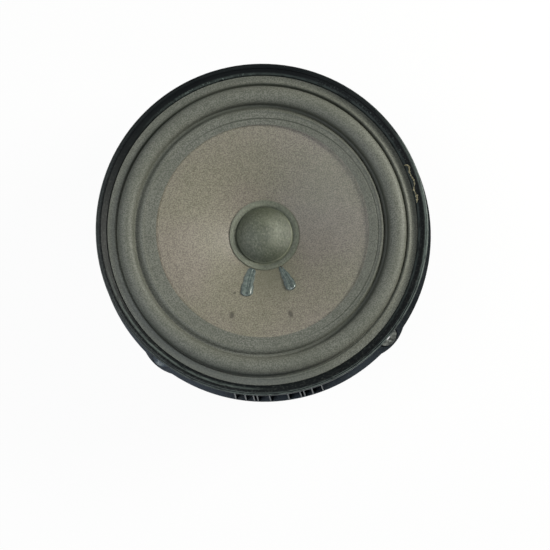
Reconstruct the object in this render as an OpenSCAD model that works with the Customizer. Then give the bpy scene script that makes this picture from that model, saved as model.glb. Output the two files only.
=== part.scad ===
// Round car door loudspeaker: a moulded basket with a deep skirt, a half-roll surround, a paper cone
// with a domed cap, and a ferrite magnet with a 25 mm voice coil.
// Millimetres. The axis is Z, the front faces +Z, and Z = 0 is the rear face of the magnet.

/* [Front lip] */
// Outer diameter of the lip at its crest
lip_d = 160; // [156:1:172]
// Height of the lip's crest above the mounting face
lip_h = 22; // [19:1:30]
// Width of the lip's flat crest
crest_w = 2.2; // [1.4:0.1:3]
// Width of the bevel inside the crest
bevel_w = 2.55; // [1.6:0.05:3.5]
// Height of the crest above the surround's flange
bevel_h = 3.4; // [2.6:0.1:5]
// Height of the steep step at the top and at the foot of the bevel
bevel_step = 0.7; // [0.3:0.1:1.1]
// Radius of the crest's outer edge
crest_round = 0.7; // [0.3:0.1:1]

/* [Skirt and flange] */
// Wall thickness of the skirt
skirt_t = 2.4; // [1.8:0.1:3]
// How much the skirt's foot stands out beyond the lip
skirt_draft = 1; // [0.4:0.1:1.6]
// How far the mounting flange stands out beyond the lip
flange_w = 4; // [3:0.5:7]
// Thickness of the mounting flange
flange_t = 3; // [2.6:0.2:5]
// Thickness of the ledge that carries the surround
ledge_t = 2.2; // [1.6:0.1:3]
// Thickness of the upright ribs on the skirt, above the plug
skirt_rib_t = 0.6; // [0.5:0.1:1]

/* [Mounting ears] */
// Diameter of the circle through the screw holes
bolt_circle_d = 158; // [156:1:166]
// Number of ears
ears = 4; // [3:1:4]
// Bore of the steel bush in each ear
bush_bore = 5.2; // [4.2:0.1:6]
// Wall of the bush
bush_t = 1; // [0.8:0.1:1.4]
// Diameter of the bush's collar
collar_d = 11; // [10:0.5:13]
// Thickness of the bush's collar
collar_t = 1; // [0.6:0.1:1.6]
// Plastic left outside the collar
ear_margin = 0.8; // [0.5:0.1:2]
// Radius of the ear's round outline
ear_round = 22; // [18:1:34]
// Height of the pocket in the skirt above each ear
pocket_h = 10; // [8:0.5:12]

/* [Seal] */
// Width of the foam seal behind the flange
seal_w = 4.2; // [3:0.1:5]
// Thickness of the foam seal
seal_t = 2; // [1.6:0.1:3]
// Depth of the seal's groove
seal_groove = 1.2; // [0.8:0.1:1.5]

/* [Basket back] */
// Depth from the mounting face to the rear of the magnet
mount_depth = 44; // [42:1:60]
// Wall of the neck that passes through the door panel
neck_t = 3; // [2.4:0.1:4]
// Height of the neck behind the mounting face
neck_h = 6; // [5:0.5:8]
// Number of arms
arms = 6; // [5:1:6]
// Width of an arm
arm_w = 14; // [11:0.5:16]
// Thickness of an arm's web
web_t = 2.7; // [2.2:0.1:3.4]
// Bow of the arms: 1 is straight, more curves up towards the rim
arm_bow = 1.35; // [1:0.05:1.6]
// Height of the ribs along an arm's edges
arm_rib_h = 3; // [2:0.5:5]
// Thickness of the ribs along an arm's edges
arm_rib_t = 1.8; // [1.4:0.1:2.4]
// Radius of the window's corners
window_round = 4; // [2:0.5:6]
// Thickness of the seat on the top plate
seat_t = 3; // [2.4:0.2:4]
// Bore of the seat
seat_bore = 40; // [36:1:44]

/* [Surround] */
// Thickness of the surround
surround_t = 0.6; // [0.5:0.05:0.8]
// Width of the flange glued to the ledge
surround_flange = 4.1; // [3:0.1:5]
// Width of the half roll from crease to valley
roll_w = 10.4; // [8:0.2:12]
// Height of the roll above its flange
roll_h = 3.2; // [2.2:0.1:4]
// Depth of the crease outside the roll
crease_h = 0.8; // [0.5:0.1:1]
// Half the width of the crease
crease_w = 0.7; // [0.6:0.05:1]
// Depth of the valley inside the roll
valley_h = 1.5; // [1.2:0.1:2]
// Half the width of the valley
valley_w = 0.9; // [0.8:0.05:1.2]
// Width of the part that laps over the cone
surround_lap = 8.7; // [6:0.1:10]

/* [Cone] */
// Depth of the cone from its edge to its neck
cone_depth = 16; // [14:0.5:18]
// Thickness of the paper
cone_t = 0.9; // [0.6:0.05:1.2]
// Bow of the cone: 1 is straight
cone_bow = 1.25; // [1.05:0.05:1.5]
// How far the cone reaches under the surround
cone_under = 4.6; // [3:0.1:6]
// Drop of the cone's edge below the top of the surround's flange
edge_drop = 1.2; // [0.8:0.1:1.6]
// Height of the straight collar around the former
cone_collar_h = 3; // [2:0.5:4]

/* [Dust cap] */
// Diameter of the dome
cap_d = 28.5; // [28.5:0.5:34]
// Height of the dome
cap_h = 6.5; // [4:0.5:9]
// Width of the flange glued to the cone
cap_flange = 3.35; // [2.5:0.05:5]
// Thickness of the cap
cap_t = 0.7; // [0.5:0.05:0.9]

/* [Voice coil] */
// Outer diameter of the pole
pole_d = 24.6; // [22:0.1:24.8]
// Clearance between the pole and the former
pole_gap = 0.4; // [0.3:0.05:0.6]
// Wall of the former
former_t = 0.3; // [0.2:0.05:0.35]
// Thickness of the winding
winding_t = 0.5; // [0.4:0.05:0.6]
// How far the winding stands out of the gap at each end
winding_over = 3; // [2:0.5:4]
// Clearance between the winding and the top plate
plate_gap = 0.4; // [0.3:0.05:0.6]
// Diameter of the enamelled lead-out wires
lead_d = 0.35; // [0.25:0.05:0.4]

/* [Spider] */
// Outer diameter of the spider
spider_d = 76; // [74:1:84]
// Width of the flat land glued to the basket
spider_land = 4.5; // [3.5:0.1:6]
// Height of the land above the top plate
spider_rise = 8.4; // [8.4:0.2:10]
// Thickness of the woven disc
spider_t = 0.5; // [0.4:0.05:0.6]
// Number of corrugations
spider_waves = 5; // [4:1:6]
// Height of a corrugation above its middle
spider_amp = 1.1; // [0.8:0.1:1.3]
// Height of the collar glued to the former
spider_collar_h = 2.2; // [1.5:0.1:2.5]

/* [Magnet] */
// Outer diameter of the ferrite ring
magnet_d = 80; // [76:1:90]
// Bore of the ferrite ring
magnet_bore = 38; // [34:1:42]
// Thickness of the ferrite ring
magnet_t = 15; // [13:1:16]
// Outer diameter of both steel plates
plate_d = 72; // [70:1:74]
// Thickness of the top plate
top_plate_t = 5; // [4:0.5:6]
// Thickness of the back plate
back_plate_t = 5; // [4:0.5:6]
// Diameter of the pole's spigot in the back plate
spigot_d = 16; // [14:0.5:17]
// Diameter of the vent through the pole
vent_d = 10; // [6:1:12]
// Edge chamfer of the plates
plate_chamfer = 1; // [0.4:0.1:1.5]
// Edge chamfer of the ferrite ring
magnet_chamfer = 0.8; // [0.4:0.1:1.5]

/* [Plate screws] */
// Number of screws that hold the top plate
screws = 4; // [3:1:6]
// Clearance between the screws' heads and the step that carries the spider
screw_gap = 1.6; // [1.2:0.1:2.2]
// Thread diameter
screw_d = 4; // [3:0.5:4]
// Head diameter
screw_head_d = 6.8; // [6:0.1:7]
// Head height
screw_head_h = 2.2; // [1.8:0.1:2.4]
// Length below the head
screw_l = 7; // [6:0.5:7]

/* [Plug socket] */
// Inner width of the socket
socket_w = 19; // [18:0.5:24]
// Inner height of the socket
socket_h = 7.4; // [7:0.1:8.4]
// Depth of the socket
socket_l = 13; // [11:0.5:14]
// Wall of the socket
socket_t = 1.6; // [1.2:0.1:2]
// Width of the wide blade
blade_wide = 6.3; // [5.8:0.1:6.3]
// Width of the narrow blade
blade_narrow = 4.8; // [4.2:0.1:4.8]
// Thickness of both blades
blade_t = 0.8; // [0.6:0.1:1]
// Distance between the blades' middles
blade_pitch = 11.5; // [11:0.1:12]
// Width of the blades' solder tails
tail_w = 3; // [2:0.1:4]
// Height of the solder tails above the arm
tail_h = 3.5; // [2.5:0.1:4.5]
// Diameter of the braided leads
tinsel_d = 1.4; // [1:0.1:1.8]

/* [Hidden] */
$fn = 96;
eps = 0.01;
fit = 0.05;
glue = 0.15;
wire_fit = 0.02;

// Angles around the axis: the ears, the plug, the ribs to each side of the plug, and the lead-outs
ear_angle = 45;
plug_angle = 270;
rib_angles = [3.2, 7.5, 8.8, 11.7, 15.3];
lead_left = 245;
lead_right = 292;

// Heights, from the rear
z_gap = back_plate_t + magnet_t;
z_top = z_gap + top_plate_t;
z_seat = z_top + seat_t;
z_land = z_top + spider_rise;
z_mount = mount_depth;
z_lip = z_mount + lip_h;
z_flange_front = z_mount + flange_t;
spot_depth = 0.3;
z_spot = z_flange_front - spot_depth;
foot = 0.5;
z_ledge = z_lip - bevel_h - surround_t;
z_neck = z_mount - neck_h;

// Radii of the rim, from the outside in
lip_r = lip_d / 2;
flange_r = lip_r + flange_w;
skirt_r = lip_r + skirt_draft;
bevel_out = lip_r - crest_w;
ledge_out = bevel_out - bevel_w;
surround_out = ledge_out - glue;
roll_out = surround_out - surround_flange;
roll_in = roll_out - roll_w;
lap_in = roll_in - surround_lap;
ledge_in = roll_out + crease_w + surround_t / 2 + glue;

// Radii of the ears, the seal and the neck
bolt_r = bolt_circle_d / 2;
bush_r = bush_bore / 2 + bush_t;
ear_reach = bolt_r + collar_d / 2 + ear_margin;
pocket_gap = 0.6;
pocket_r = collar_d / 2 + pocket_gap;
pocket_t = 1.8;
seal_out = bolt_r - bush_r - 0.7;
seal_in = seal_out - seal_w;
seal_side = 0.2;
neck_out = seal_in - seal_side - 0.4;
neck_in = neck_out - neck_t;

// Radii of the cup behind the spider
spider_r = spider_d / 2;
cup_lip = 1.7;
cup_lip_h = 1.8;
cup_out = spider_r + 0.3 + cup_lip;
land_in = spider_r - spider_land;
screw_r = land_in - screw_gap - screw_head_d / 2;

// Voice coil and the cone's neck
pole_r = pole_d / 2;
former_in = pole_r + pole_gap;
former_out = former_in + former_t;
winding_in = former_out + wire_fit;
winding_out = winding_in + winding_t;
gap_r = winding_out + plate_gap;
winding_h = top_plate_t + 2 * winding_over;
z_winding = z_gap - winding_over;
lead_r = former_out + fit + lead_d / 2;
collar_in = lead_r + lead_d / 2 + fit;
cone_r = lap_in + cone_under;
z_cone = z_ledge + surround_t - edge_drop;
cone_steps = 14;

// Height of the cone's front face at radius r
function cone_z(r) =
    z_cone - cone_depth * pow(max(cone_r - r, 0) / (cone_r - collar_in), cone_bow);

// Underside of an arm's web at radius r, from the cup to the neck
web_lift = 2.5;
arm_z_in = z_top + web_lift;
arm_z_out = z_neck + web_lift;
arm_rib_root = 0.5;
function arm_z(r) =
    arm_z_in + (arm_z_out - arm_z_in) * pow(max(r - cup_out, 0) / (neck_in - cup_out), arm_bow);

// Points of an elliptical arc about c, with half axes rx and rz
function arc(c, rx, rz, a0, a1, n) =
    [for (i = [0 : n]) let (a = a0 + (a1 - a0) * i / n) [c[0] + rx * cos(a), c[1] + rz * sin(a)]];

// A list without its first and last items
function between(list) = [for (i = [1 : len(list) - 2]) list[i]];

// Unit vector square to a path at its point i
function side(path, i) =
    let (a = path[max(i - 1, 0)], b = path[min(i + 1, len(path) - 1)], d = (b - a) / norm(b - a))
    [-d[1], d[0]];

// Closed outline of a sheet of thickness t whose middle runs along a path
function sheet(path, t) = concat(
    [for (i = [0 : len(path) - 1]) path[i] + t / 2 * side(path, i)],
    [for (i = [len(path) - 1 : -1 : 0]) path[i] - t / 2 * side(path, i)]);

// Point on a cubic curve with end points a and d and handles b and c
function bend(a, b, c, d, u) =
    pow(1 - u, 3) * a + 3 * u * pow(1 - u, 2) * b + 3 * u * u * (1 - u) * c + pow(u, 3) * d;

// Copies of the children, n times around the axis, the first at angle a0
module around(n, a0 = 0) {
    for (i = [0 : n - 1])
        rotate([0, 0, a0 + i * 360 / n])
            children();
}

// Tube of diameter d along a path of points; ref is a direction that the path never takes
module tube(path, d, ref, sides = 8) {
    last = len(path) - 1;
    rings = [for (i = [0 : last])
        let (
            t = path[min(i + 1, last)] - path[max(i - 1, 0)],
            e = cross(t, ref) / norm(cross(t, ref)),
            f = cross(t, e) / norm(t)
        )
        [for (k = [0 : sides - 1])
            path[i] + d / 2 * (cos(k * 360 / sides) * e + sin(k * 360 / sides) * f)]];
    polyhedron(
        points = [for (ring = rings, p = ring) p],
        faces = concat(
            [[for (k = [0 : sides - 1]) k]],
            [for (i = [0 : last - 1], k = [0 : sides - 1])
                let (a = i * sides + k, b = i * sides + (k + 1) % sides)
                [a, a + sides, b + sides, b]],
            [[for (k = [sides - 1 : -1 : 0]) last * sides + k]]));
}

// Ring of revolution with a chamfer on its outer edges
module plate(r_in, r_out, z0, z1, c) {
    rotate_extrude()
        polygon([[r_in, z0], [r_out - c, z0], [r_out, z0 + c], [r_out, z1 - c], [r_out - c, z1],
            [r_in, z1]]);
}

// Lip, bevel, ledge and skirt: one C-shaped section with its mouth inwards
module rim_section() {
    ledge_low = z_ledge - ledge_t;
    rotate_extrude()
        polygon(concat(
            [[skirt_r, z_flange_front - foot]],
            [[skirt_r, z_flange_front]],
            arc([lip_r - crest_round, z_lip - crest_round], crest_round, crest_round, 0, 90, 5),
            arc([bevel_out + 0.2, z_lip - 0.2], 0.2, 0.2, 90, 180, 2),
            [[bevel_out - 0.25, z_lip - bevel_step]],
            [[ledge_out + 0.25, z_ledge + surround_t + bevel_step]],
            [[ledge_out, z_ledge + surround_t]],
            [[ledge_out, z_ledge]],
            [[ledge_in + 0.3, z_ledge]],
            [[ledge_in, z_ledge - 0.3]],
            [[ledge_in, ledge_low + 0.5]],
            [[ledge_in + 0.5, ledge_low]],
            [[lip_r - skirt_t - 1, ledge_low]],
            [[lip_r + 0.3 * skirt_draft - skirt_t, ledge_low - 1.4]],
            [[skirt_r - skirt_t, z_flange_front]],
            [[skirt_r - skirt_t, z_flange_front - foot]]));
}

// Mounting flange with its ears
module flange_plate() {
    translate([0, 0, z_mount])
        linear_extrude(flange_t)
            difference() {
                union() {
                    circle(flange_r, $fn = 180);
                    around(ears, ear_angle)
                        translate([ear_reach - ear_round, 0])
                            circle(ear_round);
                }
                circle(neck_in);
            }
}

// Neck that passes through the door panel
module neck_section() {
    rotate_extrude()
        polygon([[neck_in, z_neck], [neck_out - 0.6, z_neck], [neck_out, z_neck + 0.6],
            [neck_out, z_mount], [neck_in, z_mount]]);
}

// Half tube that closes the skirt behind a pocket, cut to the skirt's own outline
module pocket_wall() {
    intersection() {
        translate([bolt_r, 0, z_flange_front - foot])
            cylinder(r = pocket_r + pocket_t, h = pocket_h + pocket_t + foot);
        translate([0, 0, z_flange_front - 2 * foot])
            cylinder(r = lip_r, h = z_lip - z_flange_front);
    }
}

// Upright rib between the skirt and the edge of the flange
module skirt_rib() {
    rib_foot = flange_r - 0.4;
    rotate([90, 0, 0])
        translate([0, 0, -skirt_rib_t / 2])
            linear_extrude(skirt_rib_t)
                polygon([[skirt_r - skirt_t / 2, z_flange_front - foot],
                    [rib_foot, z_flange_front - foot], [rib_foot, z_flange_front + 0.8],
                    [lip_r + 0.2, z_ledge - 2], [skirt_r - skirt_t / 2, z_ledge - 2]]);
}

// Seat on the top plate and the step that carries the spider
module cup_section() {
    rotate_extrude()
        polygon([[seat_bore / 2, z_top], [cup_out - 1.5, z_top], [cup_out, z_top + 1.5],
            [cup_out, z_land + cup_lip_h], [cup_out - cup_lip, z_land + cup_lip_h],
            [cup_out - cup_lip, z_land], [land_in, z_land], [land_in, z_seat],
            [seat_bore / 2, z_seat]]);
}

// Section of the bowed web, from below or above by the given heights, in the plane of an arm
function web_outline(low, high) =
    let (r0 = cup_out + fit, r1 = neck_in + 1, n = 5)
    concat(
        [for (i = [0 : n]) let (r = r0 + (r1 - r0) * i / n) [r, arm_z(r) - low]],
        [for (i = [n : -1 : 0]) let (r = r0 + (r1 - r0) * i / n) [r, arm_z(r) + high]]);

// Plan of the window between two arms, with round corners; the window's middle lies on +X
module window_plan() {
    r0 = cup_out + 2;
    r1 = neck_in - 2;
    half = 180 / arms;
    f = window_round;
    a_in = half - asin((arm_w / 2 + f) / (r0 + f));
    a_out = half - asin((arm_w / 2 + f) / (r1 - f));
    n = 6;
    polygon(concat(
        between(arc([0, 0], r1, r1, -a_out, a_out, 2 * n)),
        arc((r1 - f) * [cos(a_out), sin(a_out)], f, f, a_out, half + 90, n),
        arc((r0 + f) * [cos(a_in), sin(a_in)], f, f, half + 90, a_in + 180, n),
        between(arc([0, 0], r0, r0, a_in, -a_in, n)),
        arc((r0 + f) * [cos(a_in), -sin(a_in)], f, f, -a_in - 180, -half - 90, n),
        arc((r1 - f) * [cos(a_out), -sin(a_out)], f, f, -half - 90, -a_out, n)));
}

// The web with its windows, and the ribs set a little in from the arms' edges
module basket_arms() {
    rib_mid = arm_rib_t / 2 + 0.25;
    difference() {
        rotate_extrude()
            polygon(web_outline(0, web_t));
        around(arms, 0)
            translate([0, 0, z_top - 1])
                linear_extrude(z_mount - z_top + 2)
                    window_plan();
    }
    intersection() {
        rotate_extrude()
            polygon(web_outline(arm_rib_h, arm_rib_root));
        around(arms, 180 / arms)
            for (s = [-1, 1])
                translate([cup_out - 0.6, s * (arm_w / 2 - rib_mid) - arm_rib_t / 2, z_top])
                    cube([neck_in - cup_out + 1.2, arm_rib_t, z_mount - z_top]);
    }
}

// Socket for the plug, on the outside of the arm at the plug angle
socket_out = neck_out - 1;
socket_in = socket_out - socket_l;
socket_back = 4;
socket_top = arm_z(socket_in) + 0.6;
socket_low = socket_top - socket_h - 2 * socket_t;
blade_z = socket_top - socket_t - socket_h / 2;
tail_r = socket_in - socket_back / 2;
tail_top = arm_z(tail_r) + web_t + tail_h;

// The back of the socket, which hangs from the arm, and two gussets from its sides to the neck
module socket_root() {
    half = socket_w / 2 + socket_t;
    translate([socket_in - socket_back, -half, socket_low])
        cube([socket_back + foot, 2 * half, socket_top - socket_low]);
    for (s = [-1, 1])
        rotate([90, 0, 0])
            translate([0, 0, s * (half - socket_t / 2) - socket_t / 2])
                linear_extrude(socket_t)
                    polygon(concat(
                        [[socket_in - socket_back / 2, socket_top - 2 * foot],
                            [socket_out, socket_top - 2 * foot]],
                        [for (i = [0 : 4])
                            let (r = socket_out + (socket_in - socket_out) * i / 4)
                            [r, arm_z(min(r, neck_in)) + 1]]));
}

// Room for the shroud in front of the socket's back
module socket_room() {
    half = socket_w / 2 + socket_t;
    translate([socket_in, -half - 1, socket_low - 1])
        cube([socket_l + 2, 2 * half + 2, socket_top - socket_low + 1]);
}

// A blade: flat in the socket, turned up through the arm into a solder tail
module blade(w, grow = 0) {
    t = blade_t + 2 * grow;
    l = socket_out - 2.5 - tail_r;
    translate([tail_r - blade_t / 2 - grow, -w / 2 - grow, blade_z - t / 2])
        cube([l, w + 2 * grow, t]);
    translate([tail_r - t / 2, -tail_w / 2 - grow, blade_z])
        cube([t, tail_w + 2 * grow, tail_top - blade_z]);
}

// Screw pockets and bush holes, cut through whatever part of the moulding they are taken from
module ear_cuts() {
    around(ears, ear_angle)
        translate([bolt_r, 0, 0]) {
            translate([0, 0, z_mount - 1])
                cylinder(r = bush_r + fit, h = flange_t + 2);
            translate([0, 0, z_spot])
                cylinder(r = pocket_r, h = pocket_h);
        }
}

// The basket is one moulding, drawn in five parts: three meet on the flange's two faces, the arms
// meet the cup on its outer wall, and the shroud of the socket meets the frame on two planes
module basket_rim() {
    color("#20242b")
        difference() {
            union() {
                rim_section();
                around(ears, ear_angle)
                    pocket_wall();
                for (s = [-1, 1], a = rib_angles)
                    rotate([0, 0, plug_angle + s * a])
                        skirt_rib();
            }
            ear_cuts();
            translate([0, 0, z_flange_front - 4 * foot])
                cylinder(r = ear_reach, h = 4 * foot);
        }
}

module basket_flange() {
    color("#20242b")
        difference() {
            flange_plate();
            ear_cuts();
            translate([0, 0, z_mount - eps])
                difference() {
                    cylinder(r = seal_out + seal_side, h = seal_groove + eps);
                    translate([0, 0, -1])
                        cylinder(r = seal_in - seal_side, h = seal_groove + 2);
                }
        }
}

module basket_frame() {
    color("#20242b")
        difference() {
            union() {
                neck_section();
                basket_arms();
                rotate([0, 0, plug_angle])
                    socket_root();
            }
            rotate([0, 0, plug_angle]) {
                socket_room();
                for (s = [-1, 1])
                    translate([0, s * blade_pitch / 2, 0])
                        blade(s < 0 ? blade_wide : blade_narrow, 0.1);
            }
        }
}

module basket_cup() {
    color("#20242b")
        difference() {
            cup_section();
            around(screws, ear_angle)
                translate([screw_r, 0, z_top - 1])
                    cylinder(r = screw_d / 2 + 0.2, h = seat_t + 2, $fn = 48);
        }
}

module basket_shroud() {
    half = socket_w / 2 + socket_t;
    color("#20242b")
        rotate([0, 0, plug_angle])
            translate([socket_in, 0, socket_low])
                difference() {
                    translate([0, -half, 0])
                        cube([socket_l, 2 * half, socket_top - socket_low]);
                    translate([-1, -socket_w / 2, socket_t])
                        cube([socket_l + 2, socket_w, socket_h]);
                }
}

module mount_bushes() {
    color("#9a9d98")
        around(ears, ear_angle)
            translate([bolt_r, 0, 0])
                rotate_extrude()
                    polygon([[bush_bore / 2, z_mount], [bush_r, z_mount], [bush_r, z_spot],
                        [collar_d / 2, z_spot], [collar_d / 2, z_spot + collar_t],
                        [bush_bore / 2, z_spot + collar_t]]);
}

module rim_seal() {
    z0 = z_mount + seal_groove - seal_t;
    color("#3a3a3c")
        rotate_extrude()
            polygon([[seal_in + 0.3, z0], [seal_out - 0.3, z0], [seal_out, z0 + 0.3],
                [seal_out, z0 + seal_t], [seal_in, z0 + seal_t], [seal_in, z0 + 0.3]]);
}

// Middle line of the surround, from its outer edge in to the end of the lap
function surround_path() =
    let (
        zf = z_ledge + surround_t / 2,
        lift = glue + surround_t / 2,
        shoulder = 0.5,
        slope = (cone_z(cone_r) - cone_z(cone_r - 4)) / 4,
        r_s = roll_in - valley_w - shoulder,
        z_s = cone_z(cone_r) + lift + slope * (r_s - cone_r),
        r_roll = (roll_out - crease_w + roll_in + valley_w) / 2,
        n_lap = 4
    )
    concat(
        [[surround_out, zf]],
        arc([roll_out, zf], crease_w, crease_h, 0, -165, 6),
        arc([r_roll, zf], (roll_out - crease_w - roll_in - valley_w) / 2, roll_h, 6, 174, 14),
        arc([roll_in, z_s - shoulder], valley_w, valley_h - zf + z_s - shoulder, -10, -165, 6),
        arc([r_s, z_s - shoulder], shoulder, shoulder, 10, 100, 4),
        [for (i = [0 : n_lap])
            let (r = cone_r + (lap_in - cone_r) * i / n_lap) [r, cone_z(r) + lift]]);

module surround() {
    color("#71746a")
        rotate_extrude()
            polygon(sheet(surround_path(), surround_t));
}

module cone() {
    neck_out_r = collar_in + cone_t;
    color("#8c8276")
        difference() {
            rotate_extrude()
                polygon(concat(
                    [[collar_in, cone_z(collar_in) - cone_collar_h]],
                    [for (i = [0 : cone_steps])
                        let (r = collar_in + (cone_r - collar_in) * i / cone_steps) [r, cone_z(r)]],
                    [for (i = [cone_steps : -1 : 0])
                        let (r = neck_out_r + (cone_r - neck_out_r) * i / cone_steps)
                        [r, cone_z(r) - cone_t * 1.08]],
                    [[neck_out_r, cone_z(collar_in) - cone_collar_h]]));
            for (a = [lead_left, lead_right])
                rotate([0, 0, a])
                    translate([lead_end_r, 0, cone_z(lead_end_r) - 3])
                        cylinder(r = lead_d / 2 + 0.25, h = 5, $fn = 24);
        }
}

// Dome and flange of the cap; the flange lies on a bead of cement that lets the lead-outs pass
cap_bead = lead_d + 0.1;
function cap_path() =
    let (
        r0 = cap_d / 2,
        lift = cap_bead + cap_t * 0.55,
        z0 = cone_z(r0) + lift + 0.2,
        ball = (r0 * r0 + cap_h * cap_h) / (2 * cap_h),
        edge = asin(r0 / ball),
        zc = z0 + cap_h - ball
    )
    concat(
        [for (i = [0 : 9])
            let (a = edge * i / 9) [ball * sin(a), zc + ball * cos(a)]],
        [for (i = [1 : 4])
            let (r = r0 + cap_flange * i / 4) [r, cone_z(r) + lift]]);

module dust_cap() {
    color("#5f6755")
        rotate_extrude()
            intersection() {
                polygon(sheet(cap_path(), cap_t));
                translate([0, z_seat])
                    square([cone_r, z_lip - z_seat]);
            }
}

// The former runs from below the winding to just above the cone's neck
former_over = 1;
z_former = z_winding - former_over;
former_top = cone_z(collar_in) + 0.8;

module coil_former() {
    color("#b9b4a2")
        translate([0, 0, z_former])
            difference() {
                cylinder(r = former_out, h = former_top - z_former);
                translate([0, 0, -1])
                    cylinder(r = former_in, h = former_top - z_former + 2);
            }
}

module coil_winding() {
    color("#8a4b25")
        translate([0, 0, z_winding])
            difference() {
                cylinder(r = winding_out, h = winding_h);
                translate([0, 0, -1])
                    cylinder(r = winding_in, h = winding_h + 2);
            }
}

// Cement between the former and the cone, in two arcs that leave the lead-outs free
neck_fillet = 0.4;
module neck_glue() {
    skip = 6;
    r0 = former_out + fit;
    r1 = collar_in + neck_fillet;
    color("#4a4a42")
        for (a = [[lead_left + skip, lead_right - lead_left - 2 * skip],
                [lead_right + skip, 360 - lead_right + lead_left - 2 * skip]])
            rotate([0, 0, a[0]])
                rotate_extrude(angle = a[1])
                    polygon([[r0, cone_z(collar_in)], [collar_in - fit, cone_z(collar_in)],
                        [collar_in, cone_z(collar_in) + fit], [r1, cone_z(r1) + fit],
                        [r0, former_top]]);
}

// Middle line of the corrugated disc, from its collar out to its land
function spider_path() =
    let (
        zs = z_land + spider_t / 2,
        r0 = collar_in + spider_t / 2,
        bend_r = 0.8,
        ra = r0 + bend_r,
        rb = land_in - 0.2,
        n = spider_waves * 8
    )
    concat(
        [[r0, zs + bend_r + spider_collar_h]],
        arc([ra, zs + bend_r], bend_r, bend_r, 180, 260, 4),
        [for (i = [1 : n])
            let (u = i / n) [ra + (rb - ra) * u, zs - spider_amp * sin(360 * spider_waves * u)]],
        [[spider_r, zs]]);

module spider() {
    color("#c2a869")
        rotate_extrude()
            polygon(sheet(spider_path(), spider_t));
}

// Lead-out wires: up the former, over the neck, out along the cone and down through its hole
lead_end_r = 27;
lead_rise = 0.5;
lead_down_r = lead_end_r + glue;
function lead_path() =
    let (up = fit + lead_d * 0.6, n = 7, r0 = collar_in + 2 * lead_rise, n_turn = 4)
    concat(
        [[lead_r, z_winding + winding_h + fit]],
        [[lead_r, cone_z(collar_in)]],
        arc([r0, cone_z(collar_in)], r0 - lead_r, lead_rise + up, 165, 110, n_turn),
        [for (i = [1 : n])
            let (r = r0 + (lead_end_r - r0) * i / n) [r, cone_z(r) + up]],
        [[lead_down_r, cone_z(lead_end_r) - cone_t / 3]],
        [[lead_down_r, cone_z(lead_end_r) - cone_t]]);

module coil_lead(a) {
    color("#8a4b25")
        rotate([0, 0, a])
            tube([for (p = lead_path()) [p[0], 0, p[1]]], lead_d, [0, 1, 0], 6);
}

module coil_lead_left() {
    coil_lead(lead_left);
}

module coil_lead_right() {
    coil_lead(lead_right);
}

// Drop of clear cement over a lead-out: narrow at the cap, wide and thick at its outer end
module lead_glue(a) {
    tip = 0.9;
    r0 = cap_d / 2 + cap_flange + tip + glue;
    r1 = lead_end_r - 2;
    r2 = lead_end_r + 1;
    color("#6d7a80")
        difference() {
            hull() {
                rotate([0, 0, a + 1])
                    translate([r0, 0, cone_z(r0)])
                        sphere(tip, $fn = 20);
                rotate([0, 0, a])
                    translate([r1, 0, cone_z(r1)])
                        sphere(1.8, $fn = 28);
                rotate([0, 0, a - 1])
                    translate([r2, 0, cone_z(r2) - 0.6])
                        sphere(2.4, $fn = 28);
            }
            rotate_extrude()
                polygon(concat(
                    [[5, z_seat]],
                    [for (i = [0 : cone_steps])
                        let (r = collar_in + (cone_r - collar_in) * i / cone_steps)
                        [r, cone_z(r) + fit]],
                    [[cone_r, z_seat]]));
        }
}

module lead_glue_left() {
    lead_glue(lead_left);
}

module lead_glue_right() {
    lead_glue(lead_right);
}

// Braided leads from under the cone to the solder tails, with slack for the travel
tinsel_drop = 10;
tinsel_lift = 9;
tinsel_lean = 1;
function tinsel_path(a, y) =
    let (
        n = 16,
        r = lead_down_r,
        p = [r * cos(a), r * sin(a), cone_z(r) - cone_t * 1.08 - 0.4],
        out = [cos(plug_angle), sin(plug_angle), 0],
        q = [tail_r * out[0] - y * out[1], tail_r * out[1] + y * out[0], tail_top + 2 * fit],
        p_end = p + tinsel_lean * out - [0, 0, tinsel_drop],
        q_end = q - 2 * tinsel_lean * out + [0, 0, tinsel_lift]
    )
    [for (i = [0 : n]) bend(p, p_end, q_end, q, i / n)];

module tinsel_left() {
    color("#b3744a")
        tube(tinsel_path(lead_left, -blade_pitch / 2), tinsel_d, [1, 0, 0]);
}

module tinsel_right() {
    color("#b3744a")
        tube(tinsel_path(lead_right, blade_pitch / 2), tinsel_d, [1, 0, 0]);
}

module terminal_wide() {
    color("#c9b870")
        rotate([0, 0, plug_angle])
            translate([0, -blade_pitch / 2, 0])
                blade(blade_wide);
}

module terminal_narrow() {
    color("#c9b870")
        rotate([0, 0, plug_angle])
            translate([0, blade_pitch / 2, 0])
                blade(blade_narrow);
}

module top_plate() {
    color("#a9adb2")
        difference() {
            plate(gap_r, plate_d / 2, z_gap, z_top, plate_chamfer);
            around(screws, ear_angle)
                translate([screw_r, 0, z_gap - 1])
                    cylinder(r = screw_d / 2 + fit, h = top_plate_t + 2, $fn = 48);
        }
}

module ferrite_magnet() {
    color("#3b3d40")
        plate(magnet_bore / 2, magnet_d / 2, back_plate_t, z_gap, magnet_chamfer);
}

module back_plate() {
    color("#a9adb2")
        plate(spigot_d / 2 + fit, plate_d / 2, 0, back_plate_t, plate_chamfer);
}

module pole_piece() {
    pole_top = z_top + 0.5;
    color("#a9adb2")
        rotate_extrude()
            polygon([[vent_d / 2, 0], [spigot_d / 2, 0], [spigot_d / 2, back_plate_t],
                [pole_r, back_plate_t], [pole_r, pole_top - 0.5], [pole_r - 0.5, pole_top],
                [vent_d / 2 + 1, pole_top], [vent_d / 2, pole_top - 1]]);
}

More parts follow.
